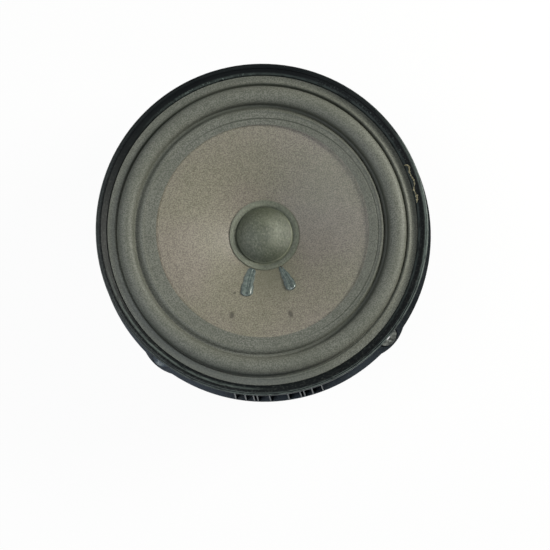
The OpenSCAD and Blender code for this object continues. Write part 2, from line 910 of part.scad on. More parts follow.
module plate_screws() {
    color("#8d8f92")
        around(screws, ear_angle)
            translate([screw_r, 0, z_seat])
                difference() {
                    rotate_extrude($fn = 48)
                        polygon([[0, -screw_l], [screw_d / 2 - 0.4, -screw_l],
                            [screw_d / 2, 0.4 - screw_l], [screw_d / 2, 0], [screw_head_d / 2, 0],
                            [screw_head_d / 2, screw_head_h * 0.6],
                            [screw_head_d / 2 - 0.7, screw_head_h], [0, screw_head_h]]);
                    for (a = [0, 90])
                        rotate([0, 0, a])
                            translate([-screw_d * 0.45, -0.4, screw_head_h - 1])
                                cube([screw_d * 0.9, 0.8, 2]);
                }
}

basket_rim();
basket_flange();
basket_frame();
basket_cup();
basket_shroud();
mount_bushes();
rim_seal();
surround();
cone();
dust_cap();
coil_former();
coil_winding();
neck_glue();
spider();
lead_glue_left();
lead_glue_right();
coil_lead_left();
coil_lead_right();
tinsel_left();
tinsel_right();
terminal_wide();
terminal_narrow();
top_plate();
ferrite_magnet();
back_plate();
pole_piece();
plate_screws();
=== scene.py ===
import math

import bmesh
import bpy
import numpy as np
from mathutils import Matrix, Vector


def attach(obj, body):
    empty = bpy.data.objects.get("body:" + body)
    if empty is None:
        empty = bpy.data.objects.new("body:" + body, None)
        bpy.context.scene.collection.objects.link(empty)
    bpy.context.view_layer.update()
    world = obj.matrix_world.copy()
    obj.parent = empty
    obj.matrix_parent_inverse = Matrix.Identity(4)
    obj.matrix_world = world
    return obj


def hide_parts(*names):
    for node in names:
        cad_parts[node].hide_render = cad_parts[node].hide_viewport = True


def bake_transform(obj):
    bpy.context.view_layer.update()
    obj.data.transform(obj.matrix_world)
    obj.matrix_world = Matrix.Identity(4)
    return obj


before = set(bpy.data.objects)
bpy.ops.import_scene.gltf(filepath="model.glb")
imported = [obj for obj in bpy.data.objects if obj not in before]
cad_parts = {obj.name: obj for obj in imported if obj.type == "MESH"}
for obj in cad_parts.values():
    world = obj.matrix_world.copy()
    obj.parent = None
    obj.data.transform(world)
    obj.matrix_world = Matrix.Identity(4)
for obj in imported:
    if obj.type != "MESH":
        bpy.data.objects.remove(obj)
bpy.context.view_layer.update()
mm = 0.001
scene = bpy.context.scene
scene.view_settings.view_transform = "Standard"


def addObject(name, data):
    made = bpy.data.objects.new(name, data)
    scene.collection.objects.link(made)
    return made


# Camera: 0.36 m in front of the lip, square to the speaker's face; the picture is an off-centre crop
camera = {
    "place": (0.01846, -0.0634, 0.43075),
    "aim": (0.01929, -0.05828, 0.06),
    "roll": -5.49,    # degrees about the line of sight
    "angle": 39.7,    # field of view across the picture, in degrees
    "shift": (-0.0702, 0.1295),    # of the lens, in widths of the picture
}


def addCamera(values):
    place, aim = Vector(values["place"]), Vector(values["aim"])
    back = (place - aim).normalized()
    right = Vector((0, 1, 0)).cross(back).normalized()
    up = back.cross(right)
    turn = math.radians(values["roll"])
    sideways = right * math.cos(turn) + up * math.sin(turn)
    upwards = up * math.cos(turn) - right * math.sin(turn)
    data = bpy.data.cameras.new("camera")
    data.angle = math.radians(values["angle"])
    data.shift_x, data.shift_y = values["shift"]
    data.clip_start = 0.01
    data.clip_end = 20
    scene.camera = addObject("camera", data)
    scene.camera.matrix_world = Matrix.Translation(place) @ Matrix((sideways, upwards, back)).transposed().to_4x4()


addCamera(camera)
print("camera placed")


# Node helpers. An input that is a socket is linked, any other is set; the tree is that of the sockets unless
# given, and what comes back are the node's outputs
def add(kind, inputs, tree=None, **settings):
    sockets = {key: value for key, value in inputs.items() if isinstance(value, bpy.types.NodeSocket)}
    tree = tree or next(iter(sockets.values())).id_data
    made = tree.nodes.new(kind)
    for key, value in settings.items():
        setattr(made, key, value)
    for key, value in inputs.items():
        if key in sockets:
            tree.links.new(value, made.inputs[key])
        elif value is not None:
            made.inputs[key].default_value = value
    return made.outputs


def newLook(name):
    look = bpy.data.materials.new(name)
    look.use_nodes = True
    look.node_tree.nodes.clear()
    return look, look.node_tree


def shade(look, colour, rough, normal, more=None):
    inputs = {"Base Color": colour, "Roughness": rough, "Normal": normal, **(more or {})}
    add("ShaderNodeOutputMaterial", {"Surface": add("ShaderNodeBsdfPrincipled", inputs)[0]})
    return look


def coordinates(tree, kind):
    return add("ShaderNodeTexCoord", {}, tree)[kind]


def millimetres(tree, stretch=(1, 1, 1), turn=0.0):
    scale = [1000 * s for s in stretch]
    inputs = {"Vector": coordinates(tree, "Object"), "Scale": scale, "Rotation": (0, 0, math.radians(turn))}
    return add("ShaderNodeMapping", inputs)[0]


def calc(operation, a, b=None, c=None, clamp=False):
    return add("ShaderNodeMath", {0: a, 1: b, 2: c}, operation=operation, use_clamp=clamp)[0]


def chain(operation):
    # the operation carried through any number of values
    def carry(a, *more):
        for b in more:
            a = calc(operation, a, b)
        return a
    return carry


times, plus, largest = chain("MULTIPLY"), chain("ADD"), chain("MAXIMUM")


def noise(where, scale, detail=2.0, rough=0.5, distort=0.0):
    inputs = {"Vector": where, "Scale": scale, "Detail": detail, "Roughness": rough, "Distortion": distort}
    return add("ShaderNodeTexNoise", inputs)[0]


def cells(where, scale, output="Distance"):
    return add("ShaderNodeTexVoronoi", {"Vector": where, "Scale": scale})[output]


def spread(value, low, high, to0=0.0, to1=1.0):
    # from one value to another along a smooth step as the input passes from low to high
    inputs = {"Value": value, "From Min": low, "From Max": high, "To Min": to0, "To Max": to1}
    return add("ShaderNodeMapRange", inputs, interpolation_type="SMOOTHSTEP", clamp=True)[0]


def paint(colour, *coats):
    # each coat is an amount and a colour, laid over the ones before it
    colour = (*colour, 1)
    for amount, coat in coats:
        colour = add("ShaderNodeMix", {0: amount, 6: colour, 7: (*coat, 1)}, data_type="RGBA")[2]
    return colour


def bump(height, depth, strength=1.0, under=None):
    # depth in millimetres between a height of 0 and of 1
    inputs = {"Height": height, "Distance": depth * mm, "Strength": strength, "Normal": under}
    return add("ShaderNodeBump", inputs)[0]


def vectorMath(operation, a, b=None, output="Value"):
    return add("ShaderNodeVectorMath", {0: a, 1: b}, operation=operation)[output]


def axes(vector):
    return add("ShaderNodeSeparateXYZ", {0: vector})


def polar(where):
    # distance from the axis and angle about it, of a point in millimetres
    x, y = axes(where)[:2]
    flat = add("ShaderNodeCombineXYZ", {0: x, 1: y})[0]
    return vectorMath("LENGTH", flat), calc("ARCTAN2", y, x)


def line(value, middle, half):
    # 1 on a thin line where the value is at its middle, falling smoothly to 0 at half on each side
    away = calc("ABSOLUTE", calc("SUBTRACT", value, middle))
    return spread(away, 0.0, half, 1.0, 0.0)


def towards(turn, degrees, low, high, least=0.0, most=1.0):
    # from least to most as the cosine of the angle away from a direction passes from low to high
    away = calc("COSINE", calc("SUBTRACT", turn, math.radians(degrees)))
    return spread(away, low, high, least, most)


def arcLine(radius, turn, middle, half, degrees, low, high, most):
    # a line round the axis that fades out away from a direction
    return times(line(radius, middle, half), towards(turn, degrees, low, high, 0.0, most))


# Surfaces: each is a grid of points over two parameters, worked out as whole arrays
def gridFaces(rows, columns, wrapRows):
    # four corners for every cell of the grid; the columns join their end to their start, the rows where asked
    i, j = np.meshgrid(np.arange(rows if wrapRows else rows - 1), np.arange(columns), indexing="ij")
    i, j = i.ravel(), j.ravel()
    i1, j1 = (i + 1) % rows, (j + 1) % columns
    return np.stack([i * columns + j, i * columns + j1, i1 * columns + j1, i1 * columns + j], axis=1), i, j


def gridPiece(name, points, body, look, wrapRows=False, weld=0.0005):
    # points and weld in millimetres, rows by columns; the UV map counts 0 to 1 along rows and columns
    rows, columns = points.shape[:2]
    faces, i, j = gridFaces(rows, columns, wrapRows)
    mesh = bpy.data.meshes.new(name)
    mesh.from_pydata((points.reshape(-1, 3) * mm).tolist(), [], faces.tolist())
    u = np.stack([i, i, i + 1, i + 1], axis=1) / (rows if wrapRows else rows - 1)
    v = np.stack([j, j + 1, j + 1, j], axis=1) / columns
    mesh.uv_layers.new(name="shape").data.foreach_set("uv", np.stack([u, v], axis=2).ravel())
    work = bmesh.new()
    work.from_mesh(mesh)
    bmesh.ops.remove_doubles(work, verts=work.verts, dist=weld * mm)
    bmesh.ops.recalc_face_normals(work, faces=work.faces)
    work.to_mesh(mesh)
    work.free()
    mesh.polygons.foreach_set("use_smooth", np.ones(len(mesh.polygons), bool))
    mesh.materials.append(look)
    piece = addObject(name, mesh)
    if body:
        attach(piece, body)
    return piece


def sharpen(piece, degrees):
    # edges that turn more than this stay crisp, all others are smooth
    piece.data.set_sharp_from_angle(angle=math.radians(degrees))


def pairs(x, y):
    # rows of two numbers from two arrays, or from an array and one number
    return np.stack(np.broadcast_arrays(x, y), axis=1)


def arcPoints(centre, across, high, start, stop, count):
    # points on an ellipse about a centre, by angle in degrees
    a = np.radians(np.linspace(start, stop, count))
    return pairs(centre[0] + across * np.cos(a), centre[1] + high * np.sin(a))


def thicken(path, thick):
    # closed outline of a sheet: the path moved half a thickness to each side along its own normal
    along = np.gradient(path, axis=0)
    side = pairs(-along[:, 1], along[:, 0]) / np.linalg.norm(along, axis=1)[:, None]
    thick = np.broadcast_to(thick, len(path))[:, None]
    return np.concatenate([path + side * thick / 2, (path - side * thick / 2)[::-1]])


def fullTurn(steps):
    return np.linspace(0, 2 * np.pi, steps, endpoint=False)


def revolve(outline, steps):
    # the outline of radius and height carried round the axis: x = r cos a, y = r sin a
    a = fullTurn(steps)
    r, z = outline[:, 0][:, None], outline[:, 1][:, None]
    return np.stack([r * np.cos(a), r * np.sin(a), z + 0 * a], axis=2)


def sweep(path, radius, sides, flat=1.0, prefer=(0, 0, 1)):
    # a round or flattened section carried along a path: point = path + radius (cos e + flat sin f)
    along = np.gradient(path, axis=0)
    along /= np.linalg.norm(along, axis=1)[:, None]
    e = np.cross(along, prefer)
    e /= np.linalg.norm(e, axis=1)[:, None]
    f = np.cross(e, along)
    a = fullTurn(sides)
    ring = e[:, None] * np.cos(a)[:, None] + flat * f[:, None] * np.sin(a)[:, None]
    return path[:, None] + np.broadcast_to(radius, len(path))[:, None, None] * ring


def closeEnds(points):
    # a row at each end drawn in to its own middle, so that the tube is closed
    first = np.broadcast_to(points[0].mean(0), points[0].shape)
    last = np.broadcast_to(points[-1].mean(0), points[-1].shape)
    return np.concatenate([first[None], points, last[None]])


def bendBetween(piece, inner, outer):
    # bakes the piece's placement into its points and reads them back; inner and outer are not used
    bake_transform(piece)
    where = np.zeros(len(piece.data.vertices) * 3)
    piece.data.vertices.foreach_get("co", where)


# Plastic of the basket: satin black with a fine moulded grain, scuffs, settled dust and worn edges, painted
# highlights on the ribs' edges and the lip's right side, and painted light in the skirt's pockets.
# An arc is given by radius, half width, direction, the cosines between which it fades in, and strength;
# a side by direction, the same cosines, and the least and the most strength
plastic = {
    "black": (0.0035, 0.0048, 0.006),
    "dusty": (0.013, 0.016, 0.018),
    # pale colour of wear and old cement, also used for the painted highlights
    "paleWearAndLight": (0.145, 0.176, 0.168),
    "slate": (0.058, 0.072, 0.096),    # film of dirt outside the lip, thickest at the lower left; the same colour in the skirt's pockets is painted light that lifts their shade
    "speckle": (0.075, 0.083, 0.076),
    "grain": 2.2,
    "grainDepth": 0.045,
    "rough": (0.34, 0.48),
    "shine": 0.16,
    "slateSide": (246, 0.1, 0.9, 0.24, 0.85),
    "speckleSide": (268, -0.85, 0.1, 0.08, 1.0),
    "skirt": (80.1, 80.7),    # radii over which the film begins
    "pockets": (75.5, 76.0, 61.0, 60.0),    # radii over which the painted light in the skirt's pockets begins, and the heights below which they lie
    "crest": (78.0, 78.6, 64.6, 65.4),    # radii and heights over which the lip's rubbed crest begins
    "crestSides": ((272, -0.95, -0.1, 0.22, 1.0), (-52, -0.2, 0.85, 0.42, 1.0)),
    "crestWornLitSide": (8, 0.75, 1.0, 0.0, 0.65),    # the side facing the key lamp, made pale from edge to edge: wear and painted light
    "lines": ((78.7, 0.26, 0.6), (79.55, 0.42, 1.0)),    # its two edges are rubbed most: radius, half width, strength
    "crumbs": ((75.8, 0.8, 106, 0.91, 0.97, 1.0), (76.5, 1.4, 38, 0.86, 0.92, 0.6)),    # arcs of old cement
    "dirt": ((76.8, 0.75, 228, 0.72, 0.95, 0.6), (75.8, 0.85, 40, -0.3, 0.6, 0.36)),    # arcs of dirt inside the lip
    "ledge": (62.3, 62.5, 62.4, 62.6),    # heights over which the dirt and then the crumbs begin
    "ribs": (3.2, 7.5, 8.8, 11.7, 15.3),    # angles of the skirt's ribs to each side of the plug
    "ribEdge": 0.3,    # half width of the pale lines at their edges, worn edges with painted highlight, in degrees
    "bars": ((0.0, 3.2, 48.2), (3.2, 7.5, 56.5), (3.2, 8.8, 48.2)),    # pale lines, worn edges with painted highlight: from, to and height
    "barEdge": 0.45,
    "ribStrength": 0.42,
    "ribZone": (80.2, 80.4, 47.0, 47.3),    # radii and heights over which the ribs' marks begin
    # a pale line along the flange's edge near the plug: worn edge with painted highlight
    "flangeEdge": (84.0, 0.6, 4.5, 7.0, 0.6),    # radius, half width, angles over which it ends, strength
    "flangeTop": (48.0, 47.0),    # heights below which it lies
}


def zone(radius, height, r0, r1, z0, z1):
    return times(spread(radius, r0, r1), spread(height, z0, z1))


def ribEdges(values, turn, height):
    # thin lines at equal angles to both sides of the plug, and bars between some of them
    away = calc("ABSOLUTE", plus(turn, math.pi / 2))
    half = math.radians(values["ribEdge"])
    edges = [line(away, math.radians(angle), half) for angle in values["ribs"]]
    for start, stop, level in values["bars"]:
        inside = line(away, math.radians((start + stop) / 2), math.radians((stop - start) / 2) + half)
        edges.append(times(line(height, level, values["barEdge"]), spread(inside, 0.0, 0.1)))
    return away, largest(*edges)


def moulded(values):
    look, tree = newLook("mouldedPlastic")
    where = millimetres(tree)
    radius, turn = polar(where)
    height = axes(where)[2]
    upward = axes(add("ShaderNodeNewGeometry", {}, tree)["Normal"])[2]
    patches = noise(where, 0.045, 4, 0.6)
    fine = noise(where, values["grain"], 3, 0.6)
    scuffs = noise(millimetres(tree, (0.5, 0.5, 2.2)), 0.9, 5, 0.7, 0.6)
    specks = spread(noise(where, 1.6, 3, 0.7), 0.6, 0.72, 0.0, 0.3)
    dust = times(spread(upward, 0.3, 1.0, 0.0, 0.4), spread(patches, 0.38, 0.66, 0.25, 1.0))
    dust = calc("ADD", dust, plus(spread(scuffs, 0.62, 0.74, 0.0, 0.16), specks), clamp=True)
    # slate film of dirt outside the lip, and painted light in the skirt's pockets that lifts their shade
    outside = times(largest(spread(radius, *values["skirt"]), zone(radius, height, *values["pockets"])),
                    towards(turn, *values["slateSide"]), spread(patches, 0.3, 0.6, 0.55, 1.0))
    flecks = times(spread(noise(where, 0.95, 3, 0.65), 0.5, 0.72),
                   spread(upward, 0.1, 0.6, 0.0, 0.45), towards(turn, *values["speckleSide"]))
    # the crest is rubbed in streaks along the lip, most at the lower right, least at the upper left, and made pale
    # from edge to edge on the right as painted light where the lip faces the key lamp
    ring = add("ShaderNodeCombineXYZ", {0: radius, 1: times(turn, 9.0)})[0]
    streaks = spread(noise(ring, 1.3, 4, 0.65), 0.3, 0.56)
    lines = [times(line(radius, middle, half), most) for middle, half, most in values["lines"]]
    sides = [towards(turn, *side) for side in values["crestSides"]]
    crest = times(zone(radius, height, *values["crest"]), streaks, *sides,
                  largest(*lines, towards(turn, *values["crestWornLitSide"])))
    above = [spread(height, *values["ledge"][k:k + 2]) for k in (0, 2)]
    dirt = [times(arcLine(radius, turn, *arc), above[0], streaks) for arc in values["dirt"]]
    crumbs = times(spread(noise(where, 1.2, 3, 0.75), 0.52, 0.66), above[1])
    crumbs = [times(arcLine(radius, turn, *arc), crumbs) for arc in values["crumbs"]]
    # pale lines along the ribs, bars and flange edge: worn edges with painted highlights
    away, edges = ribEdges(values, turn, height)
    edges = times(edges, zone(radius, height, *values["ribZone"]), values["ribStrength"])
    middle, half, start, stop, most = values["flangeEdge"]
    flange = times(line(radius, middle, half), spread(height, *values["flangeTop"]),
                   spread(away, math.radians(start), math.radians(stop), most, 0.0))
    colour = paint(values["black"], (dust, values["dusty"]), (outside, values["slate"]), (flecks, values["speckle"]),
                   (largest(crest, *dirt, *crumbs, edges, flange), values["paleWearAndLight"]))
    rough = spread(plus(patches, times(fine, 0.4)), 0.4, 1.0, *values["rough"])
    normal = bump(fine, values["grainDepth"], 0.6)
    return shade(look, colour, rough, normal, {"Specular IOR Level": values["shine"]})


# Foam rubber of the surround: matt grey-green, fine pores, painted shade in its grooves and creases and a painted
# shadow of the lip on the flange; arcs and sides as for the plastic
foamRubber = {
    "grey": (0.085, 0.089, 0.074),
    "pale": (0.178, 0.181, 0.158),
    "dull": (0.088, 0.095, 0.073),
    # dark colour of the painted shade in grooves, creases and the lap's pressed lines
    "paintedShade": (0.034, 0.038, 0.029),
    "bluish": (0.09, 0.1, 0.108),
    "film": (68.0, 71.5),    # radii over which the bluish film of the flange begins
    "filmSide": (243, 0.55, 0.95, 0.0, 0.45),
    "shadedGrooves": (    # arcs of painted shade in the crease, valley and shoulder, and the lip's painted shadow on the flange
        (70.8, 1.9, 95, 0.0, 0.8, 0.97), (70.6, 1.3, 255, 0.5, 0.9, 0.45), (60.7, 2.2, 30, -0.75, 0.1, 0.85),
        (58.4, 1.6, -10, -0.75, 0.35, 0.35), (74.2, 2.0, 60, 0.1, 0.9, 0.3),
    ),
    "lapLines": ((57.4, 0.25), (54.6, 0.22), (53.1, 0.2)),    # faint rings pressed into the lap, darkened with painted shade
    "lapCrease": (55.68, -0.55, 0.52, 0.46),    # mean radius, sizes of its two waves, half width
    "creaseSide": (25, -0.5, 0.4),
}


def foamed(values):
    look, tree = newLook("foamRubber")
    where = millimetres(tree)
    radius, turn = polar(where)
    speckle = noise(where, 1.6, 2, 0.6)
    pores = cells(where, 1.9)
    broad = noise(where, 0.05, 3, 0.5)
    cloud = noise(where, 0.22, 3, 0.6)
    film = times(spread(radius, *values["film"]), towards(turn, *values["filmSide"]))
    # a thin crease wanders across the lap: r = mean + first sin(a) + second cos(2a)
    mean, first, second, half = values["lapCrease"]
    wander = calc("MULTIPLY_ADD", calc("SINE", turn), first, mean)
    wander = calc("MULTIPLY_ADD", calc("COSINE", times(turn, 2.0)), second, wander)
    crease = times(line(calc("SUBTRACT", radius, wander), 0.0, half), towards(turn, *values["creaseSide"]))
    rings = largest(*[line(radius, *each) for each in values["lapLines"]])
    # the lap's pressed rings and wandering crease are darkened with painted shade
    marks = largest(times(rings, 0.25), crease)
    # painted shade: dark arcs in the crease, valley and shoulder, and the lip's painted shadow on the flange
    shadedGrooves = [(arcLine(radius, turn, *arc), values["paintedShade"]) for arc in values["shadedGrooves"]]
    colour = paint(values["grey"], (spread(speckle, 0.39, 0.61), values["pale"]),
                   (spread(cloud, 0.52, 0.72, 0.0, 0.35), values["grey"]), (film, values["bluish"]),
                   (spread(broad, 0.3, 0.7, 0.0, 0.3), values["dull"]), *shadedGrooves,
                   (times(marks, 0.9), values["paintedShade"]))
    normal = bump(plus(times(speckle, 0.9), times(pores, 0.5)), 0.12, 0.8)
    normal = bump(marks, -0.12, 1.0, normal)
    return shade(look, colour, 0.58, normal, {"Specular IOR Level": 0.5})


# Pulp of the cone: pinkish brown to olive, with felted fibres, two stains and a speck below the cap
pulp = {
    "warm": (0.196, 0.168, 0.145),
    "olive": (0.172, 0.163, 0.118),
    "pale": (0.3, 0.272, 0.222),
    "dark": (0.09, 0.079, 0.062),
    "handled": (0.105, 0.104, 0.072),
    "patch": ((1.5, -20.0, 48.0), 6.0, 27.0, 0.62),    # the handled patch: middle, radii over which it ends, strength
    "stained": (0.055, 0.047, 0.036),
    "stains": (    # x and y, length and width, turn, strength
        (-19.1, -39.3, 2.0, 1.35, 80, 0.8),
        (9.6, -41.4, 2.1, 1.15, 112, 0.82),
        (-17.1, -28.2, 0.8, 0.65, 0, 0.8),
    ),
}


def fibres(where, scale, thin, seed):
    # thin curling lines where a bent noise passes through its middle value
    moved = add("ShaderNodeMapping", {"Vector": where, "Location": seed})[0]
    return line(noise(moved, scale, 1, 0.4, 1.6), 0.5, thin)


def stain(where, x, y, long, wide, turn, most):
    inputs = {"Vector": where, "Location": (x, y, 0), "Scale": (long, wide, 1000)}
    inputs["Rotation"] = (0, 0, math.radians(turn))
    local = add("ShaderNodeMapping", inputs, vector_type="TEXTURE")[0]
    away = plus(vectorMath("LENGTH", local), times(noise(where, 1.1, 2), 0.45))
    return spread(away, 0.75, 1.45, most, 0.0)


def pulped(values):
    look, tree = newLook("conePulp")
    where = millimetres(tree)
    broad = noise(where, 0.022, 2, 0.5)
    cloud = noise(where, 0.35, 4, 0.6)
    fleck = noise(where, 1.7, 2, 0.65)
    middle, start, stop, most = values["patch"]
    below = plus(vectorMath("DISTANCE", where, middle), times(cloud, 10.0))
    light = fibres(where, 0.9, 0.03, (3, 7, 1))
    dark = fibres(where, 1.3, 0.024, (31, 11, 5))
    stains = [(stain(where, *each), values["stained"]) for each in values["stains"]]
    colour = paint(values["olive"], (spread(broad, 0.36, 0.62), values["warm"]),
                   (spread(cloud, 0.3, 0.75, 0.0, 0.3), values["pale"]),
                   (spread(fleck, 0.5, 0.63, 0.0, 0.7), values["dark"]),
                   (spread(fleck, 0.5, 0.37, 0.0, 0.7), values["pale"]),
                   (spread(below, start, stop, most, 0.0), values["handled"]),
                   (times(light, 0.22), values["pale"]), (times(dark, 0.22), values["dark"]), *stains)
    normal = bump(plus(times(light, 0.5), times(fleck, 0.9)), 0.12, 0.7)
    return shade(look, colour, 0.44, normal, {"Specular IOR Level": 0.62})


# Cloth of the dust cap: doped grey-green weave, with painted shade towards the foot of the dome and in its creases,
# and painted highlights
capCloth = {
    "green": (0.084, 0.095, 0.066),
    "pale": (0.155, 0.165, 0.122),
    "cloudy": (0.105, 0.118, 0.09),
    "dark": (0.036, 0.044, 0.028),
    "bright": (0.23, 0.24, 0.178),
    # pale colour of the painted highlights
    "bare": (0.215, 0.225, 0.17),
    "paintedShade": (0.022, 0.027, 0.018),
    "domeShade": (0.04, 0.048, 0.031),
    "pitch": 0.42,    # distance between two threads
    "shadeArcs": (    # arcs of painted shade at the dome's foot, the flange's outer edge and the flange right of the dome; as for the plastic
        (14.15, 0.55, 150, -0.4, 0.5, 0.95), (17.62, 0.2, 180, -0.4, 0.5, 0.65), (15.4, 1.5, -15, -0.4, 0.5, 0.4),
    ),
    "highlightArcs": (    # arcs of painted highlight: the dome's foot at the lower right, the flange on the left and a spot right of the crown
        (13.9, 0.4, -55, -0.3, 0.5, 0.9), (16.2, 2.4, 170, -0.3, 0.5, 0.35), (6.5, 4.0, 15, -0.3, 0.5, 0.22),
    ),
}


def woven(where, pitch):
    # two sets of threads at right angles, each lifted where the other dips
    x, y = (times(part, math.pi / pitch) for part in axes(where)[:2])
    across = calc("ABSOLUTE", calc("SINE", x))
    down = calc("ABSOLUTE", calc("SINE", y))
    swap = times(calc("SINE", plus(x, math.pi / 2)), calc("SINE", plus(y, math.pi / 2)))
    over = spread(swap, -0.4, 0.4)
    return plus(times(across, over), times(down, calc("SUBTRACT", 1.0, over)))


def doped(values):
    look, tree = newLook("dopedCloth")
    where = millimetres(tree)
    radius, turn = polar(where)
    threads = woven(vectorMath("ADD", where, noise(where, 0.4, 2), "Vector"), values["pitch"])
    cloud = noise(where, 0.28, 3, 0.6)
    fleck = noise(millimetres(tree, (1.0, 0.7, 1.0), 25), 1.15, 4, 0.75)
    # painted shade along arcs at the dome's foot and on the flange
    shadeArcs = [(arcLine(radius, turn, *arc), values["paintedShade"]) for arc in values["shadeArcs"]]
    # painted highlights along arcs on the dome's foot, the flange and the crown
    highlightArcs = [(arcLine(radius, turn, *arc), values["bare"]) for arc in values["highlightArcs"]]
    # painted shade darkens the dome towards its foot, most at its top and lower edges
    edge = times(spread(radius, 7.0, 13.6), spread(radius, 13.9, 13.5))
    sides = calc("ABSOLUTE", calc("SINE", plus(turn, 0.15)))
    sides = calc("MULTIPLY_ADD", sides, 0.55, 0.45)
    colour = paint(values["green"], (spread(threads, 0.2, 0.9, 0.0, 0.55), values["pale"]),
                   (spread(cloud, 0.35, 0.7, 0.0, 0.35), values["cloudy"]),
                   (spread(fleck, 0.46, 0.64, 0.0, 0.75), values["dark"]),
                   (spread(fleck, 0.46, 0.32, 0.0, 0.65), values["bright"]),
                   *shadeArcs, *highlightArcs, (times(edge, sides, 0.46), values["domeShade"]))
    normal = bump(plus(threads, times(fleck, 2.0)), 0.08, 0.8)
    return shade(look, colour, 0.4, normal, {"Specular IOR Level": 0.7})


# Clear cement over the lead-outs: blue-grey and glossy, with the wires as dark lines inside
clear = {
    "deep": (0.08, 0.102, 0.102),
    "milky": (0.16, 0.19, 0.178),
    "wire": (0.02, 0.03, 0.034),
    "wires": ((-0.3, 0.25, 0.1), (0.35, -0.3, 0.09), (0.8, -0.1, 0.12)),    # side, drift, half width
}


def clearCement(values):
    # the surface's own map: u runs down the drop, and the cosine of v is the place across it
    look, tree = newLook("clearCement")
    u, v = axes(coordinates(tree, "UV"))[:2]
    across = calc("COSINE", times(v, 2 * math.pi))
    haze = noise(millimetres(tree), 0.55, 3, 0.6)
    coats = [(spread(haze, 0.32, 0.68), values["milky"])]
    for side, drift, half in values["wires"]:
        middle = plus(calc("MULTIPLY_ADD", u, drift, side), times(haze, 0.25))
        coats.append((times(line(across, middle, half), 0.8), values["wire"]))
    colour = paint(values["deep"], *coats)
    return shade(look, colour, 0.16, bump(haze, 0.25, 0.8), {"IOR": 1.48, "Coat Weight": 0.4, "Coat Roughness": 0.08})


def plainCement(name, colour, dark, rough):
    look, tree = newLook(name)
    lumps = noise(millimetres(tree), 1.3, 4, 0.65)
    tint = paint(dark, (spread(lumps, 0.3, 0.7), colour))
    return shade(look, tint, rough, bump(lumps, 0.15, 0.8), {"Coat Weight": 0.2, "Coat Roughness": 0.2})


# Plated metal: grains of different brightness and dull spots
def plated(name, bright, dull, grain, rough, film=None):
    look, tree = newLook(name)
    where = millimetres(tree)
    value = add("ShaderNodeSeparateColor", {0: cells(where, grain, "Color")})[0]
    stains = noise(where, 0.12, 4, 0.65)
    coats = [(spread(value, 0.1, 0.9), bright), (spread(stains, 0.5, 0.75, 0.0, 0.5), dull)]
    if film:
        # bluish dirt that covers most of the metal on the left of the speaker
        left = spread(axes(where)[0], -20.0, -50.0)
        coats.append((times(left, spread(stains, 0.3, 0.45, 0.55, 0.9)), film))
    rough = spread(plus(stains, times(value, 0.3)), 0.3, 0.9, *rough)
    normal = bump(noise(where, 2.5, 3, 0.6), 0.02, 0.6)
    return shade(look, paint(dull, *coats), rough, normal, {"Metallic": 1.0})


# Ferrite: sintered and ground, nearly black, with pale chips
def sintered():
    look, tree = newLook("groundFerrite")
    where = millimetres(tree)
    grains = noise(where, 2.0, 4, 0.7)
    patches = noise(where, 0.07, 3, 0.6)
    chips = spread(cells(where, 0.35), 0.06, 0.1, 1.0, 0.0)
    colour = paint((0.024, 0.025, 0.028), (spread(grains, 0.3, 0.7), (0.052, 0.053, 0.057)),
                   (spread(patches, 0.4, 0.7, 0.0, 0.5), (0.06, 0.058, 0.056)),
                   (times(chips, 0.5), (0.11, 0.11, 0.115)))
    normal = bump(calc("SUBTRACT", grains, times(chips, 0.8)), 0.06, 0.7)
    return shade(look, colour, 0.62, normal)


# Kraft paper, cotton, copper, braid and seal foam
def kraft():
    look, tree = newLook("kraftPaper")
    fleck = noise(millimetres(tree, (1, 1, 0.3)), 1.6, 3, 0.6)
    colour = paint((0.33, 0.23, 0.12), (spread(fleck, 0.3, 0.7), (0.52, 0.4, 0.24)))
    return shade(look, colour, 0.7, bump(noise(millimetres(tree), 3, 3), 0.03, 0.6))


def dippedCotton():
    look, tree = newLook("dippedCotton")
    where = millimetres(tree)
    threads = woven(where, 0.55)
    cloud = noise(where, 0.15, 3, 0.6)
    colour = paint((0.24, 0.135, 0.045), (spread(threads, 0.15, 0.9), (0.56, 0.38, 0.16)),
                   (spread(cloud, 0.35, 0.7, 0.0, 0.45), (0.36, 0.21, 0.08)))
    return shade(look, colour, 0.6, bump(threads, 0.12, 0.8), {"Sheen Weight": 0.2, "Sheen Roughness": 0.5})


def copper(name, turns):
    # turns: distance between two turns of a close winding along the axis, or 0 for a plain wire
    look, tree = newLook(name)
    where = millimetres(tree)
    cloud = noise(where, 0.5, 3, 0.6)
    bare, enamelled = ((0.34, 0.105, 0.035), (0.62, 0.26, 0.09)), ((0.06, 0.022, 0.01), (0.12, 0.045, 0.018))
    low, high = bare if turns else enamelled
    if turns:
        wave = calc("SINE", times(axes(where)[2], math.pi / turns))
        normal = bump(calc("ABSOLUTE", wave), 0.12, 0.9)
    else:
        normal = bump(cloud, 0.02, 0.5)
    colour = paint(low, (spread(cloud, 0.3, 0.7), high))
    return shade(look, colour, 0.32, normal, {"Metallic": 1.0, "Coat Weight": 0.5, "Coat Roughness": 0.12})


def braided():
    # two sets of diagonal strands on the tube's own UV map: 22 times along it and 4 times round it
    look, tree = newLook("tinselBraid")
    u, v = axes(coordinates(tree, "UV"))[:2]
    along, about = times(u, 2 * math.pi * 22), times(v, 2 * math.pi * 4)
    strands = largest(*[calc("SINE", calc(way, along, about)) for way in ("ADD", "SUBTRACT")])
    colour = paint((0.16, 0.065, 0.03), (spread(strands, -0.2, 1.0), (0.66, 0.38, 0.2)))
    return shade(look, colour, 0.42, bump(strands, 0.16, 0.9), {"Metallic": 0.9})


